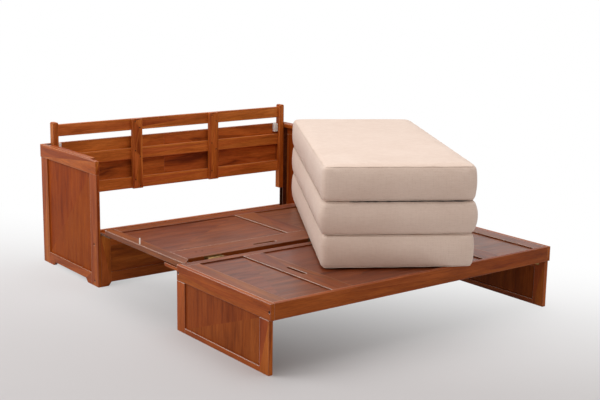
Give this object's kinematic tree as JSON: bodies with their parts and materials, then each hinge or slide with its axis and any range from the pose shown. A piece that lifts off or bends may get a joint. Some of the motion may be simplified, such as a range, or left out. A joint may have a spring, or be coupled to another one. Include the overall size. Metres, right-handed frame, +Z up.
{
  "type": "cabinet bed",
  "caption": "Opened cabinet bed: low framed cabinet with raised slatted headboard, two-part folding panelled platform on a panel leg frame, folded mattress on top.",
  "frame": {"origin": "middle of the base of the overall box, on the floor", "axes": "+X to the right, +Y to the cabinet's back, +Z up; azimuth 0 looks along +Y at the platform's front"},
  "size_m": [1.8598, 2.204, 0.773],
  "materials": {
    "stained_wood": "satin reddish-brown stain and lacquer, straight grain",
    "panel_wood": "satin reddish-brown stain on flat veneered panels",
    "dark_end_grain": "unlacquered inner wood in the same stain",
    "mattress_cover": "plain beige woven cover",
    "white_nylon": "moulded white nylon",
    "hinge_brass": "plain brass plating, slightly dull",
    "black_screw": "black oxide",
    "carrier_steel": "plain bright steel",
    "track_metal": "bronze-brown anodised channel"
  },
  "bodies": {
    "cabinet": {"side_top_rail_left": "stained_wood", "side_top_rail_right": "stained_wood", "side_frame_left": "stained_wood", "side_frame_right": "stained_wood", "side_panel_left": "panel_wood", "side_panel_right": "panel_wood", "top_track_left": "stained_wood", "top_track_right": "stained_wood", "headboard_track_left": "track_metal", "headboard_track_right": "track_metal", "base_front_frame": "stained_wood", "base_front_panel": "panel_wood", "base_corner_posts": "dark_end_grain", "base_bolts": "black_screw", "back_boards": "stained_wood", "back_lower_rail": "stained_wood", "floor_panel": "panel_wood", "floor_cleats": "dark_end_grain"},
    "headboard": {"headboard_top_rail": "stained_wood", "headboard_middle_rail": "stained_wood", "headboard_bottom_rail": "stained_wood", "headboard_middle_stile_left": "stained_wood", "headboard_middle_stile_right": "stained_wood", "headboard_end_stile_left": "stained_wood", "headboard_end_stile_right": "stained_wood", "headboard_screws": "black_screw", "headboard_guide_discs": "white_nylon", "headboard_guide_pins": "carrier_steel", "headboard_glides": "white_nylon"},
    "carriers": {"deck_carrier_left": "carrier_steel", "deck_carrier_right": "carrier_steel"},
    "rear_deck": {"rear_deck_rear_rail": "stained_wood", "rear_deck_front_rail": "stained_wood", "rear_deck_centre_stile": "stained_wood", "rear_deck_end_stile_left": "stained_wood", "rear_deck_end_stile_right": "stained_wood", "rear_deck_panels": "panel_wood", "rear_deck_arm_blocks": "dark_end_grain", "rear_deck_peg": "white_nylon", "fold_hinge_arms": "hinge_brass"},
    "front_deck": {"front_deck_rear_rail": "stained_wood", "front_deck_end_stiles": "stained_wood", "front_deck_middle_stiles": "stained_wood", "front_deck_panels": "panel_wood", "front_deck_front_apron": "stained_wood", "front_deck_end_apron_left": "stained_wood", "front_deck_end_apron_right": "stained_wood", "front_deck_rear_apron": "stained_wood", "apron_bolts": "black_screw", "fold_hinge_knuckles": "hinge_brass", "leg_hinge_apron_leaves": "hinge_brass"},
    "left_leg": {"leg_frame_left": "stained_wood", "leg_panel_left": "panel_wood", "leg_hinge_leaves_left": "hinge_brass"},
    "right_leg": {"leg_frame_right": "stained_wood", "leg_panel_right": "panel_wood", "leg_hinge_leaves_right": "hinge_brass"},
    "mattress_base": {"mattress_bottom": "mattress_cover"},
    "mattress_mid": {"mattress_middle": "mattress_cover"},
    "mattress_lid": {"mattress_top": "mattress_cover"}
  },
  "joints": [
    {"name": "headboard_slide", "type": "slide", "parent": "cabinet", "child": "headboard", "axis": [0, 0, 1], "range_m": [-0.12, 0]},
    {"name": "deck_lift", "type": "slide", "parent": "cabinet", "child": "carriers", "axis": [0, 0, 1], "range_m": [0, 0.47]},
    {"name": "deck_slide", "type": "slide", "parent": "carriers", "child": "rear_deck", "axis": [0, 1, 0], "range_m": [0, 0.615]},
    {"name": "front_deck_fold", "type": "hinge", "parent": "rear_deck", "child": "front_deck", "pos_m": [-0.09193, -0.314, 0.293], "axis": [1, 0, 0], "range_deg": [0, 90]},
    {"name": "left_leg_fold", "type": "hinge", "parent": "front_deck", "child": "left_leg", "pos_m": [-0.90593, -0.713, 0.235], "axis": [0, -1, 0], "range_deg": [0, 90]},
    {"name": "right_leg_fold", "type": "hinge", "parent": "front_deck", "child": "right_leg", "pos_m": [0.72207, -0.713, 0.235], "axis": [0, 1, 0], "range_deg": [0, 90]},
    {"name": "mattress_lift_off", "type": "slide", "parent": "carriers", "child": "mattress_base", "axis": [0, 0, 1], "range_m": [0, 0.3]},
    {"name": "mattress_unfold", "type": "hinge", "parent": "mattress_base", "child": "mattress_mid", "pos_m": [0.54802, -0.46299, 0.45975], "axis": [0.518, 0.8554, 0], "range_deg": [0, 180]},
    {"name": "mattress_second_fold", "type": "hinge", "parent": "mattress_mid", "child": "mattress_lid", "pos_m": [-0.03132, -0.11213, 0.61235], "axis": [0.518, 0.8554, 0], "range_deg": [-180, 0]}
  ],
  "couplings": [
    {"joint": "mattress_second_fold", "follows": "mattress_unfold", "ratio": -1},
    {"joint": "mattress_lift_off", "follows": "front_deck_fold", "m_per_rad": 0.19}
  ]
}
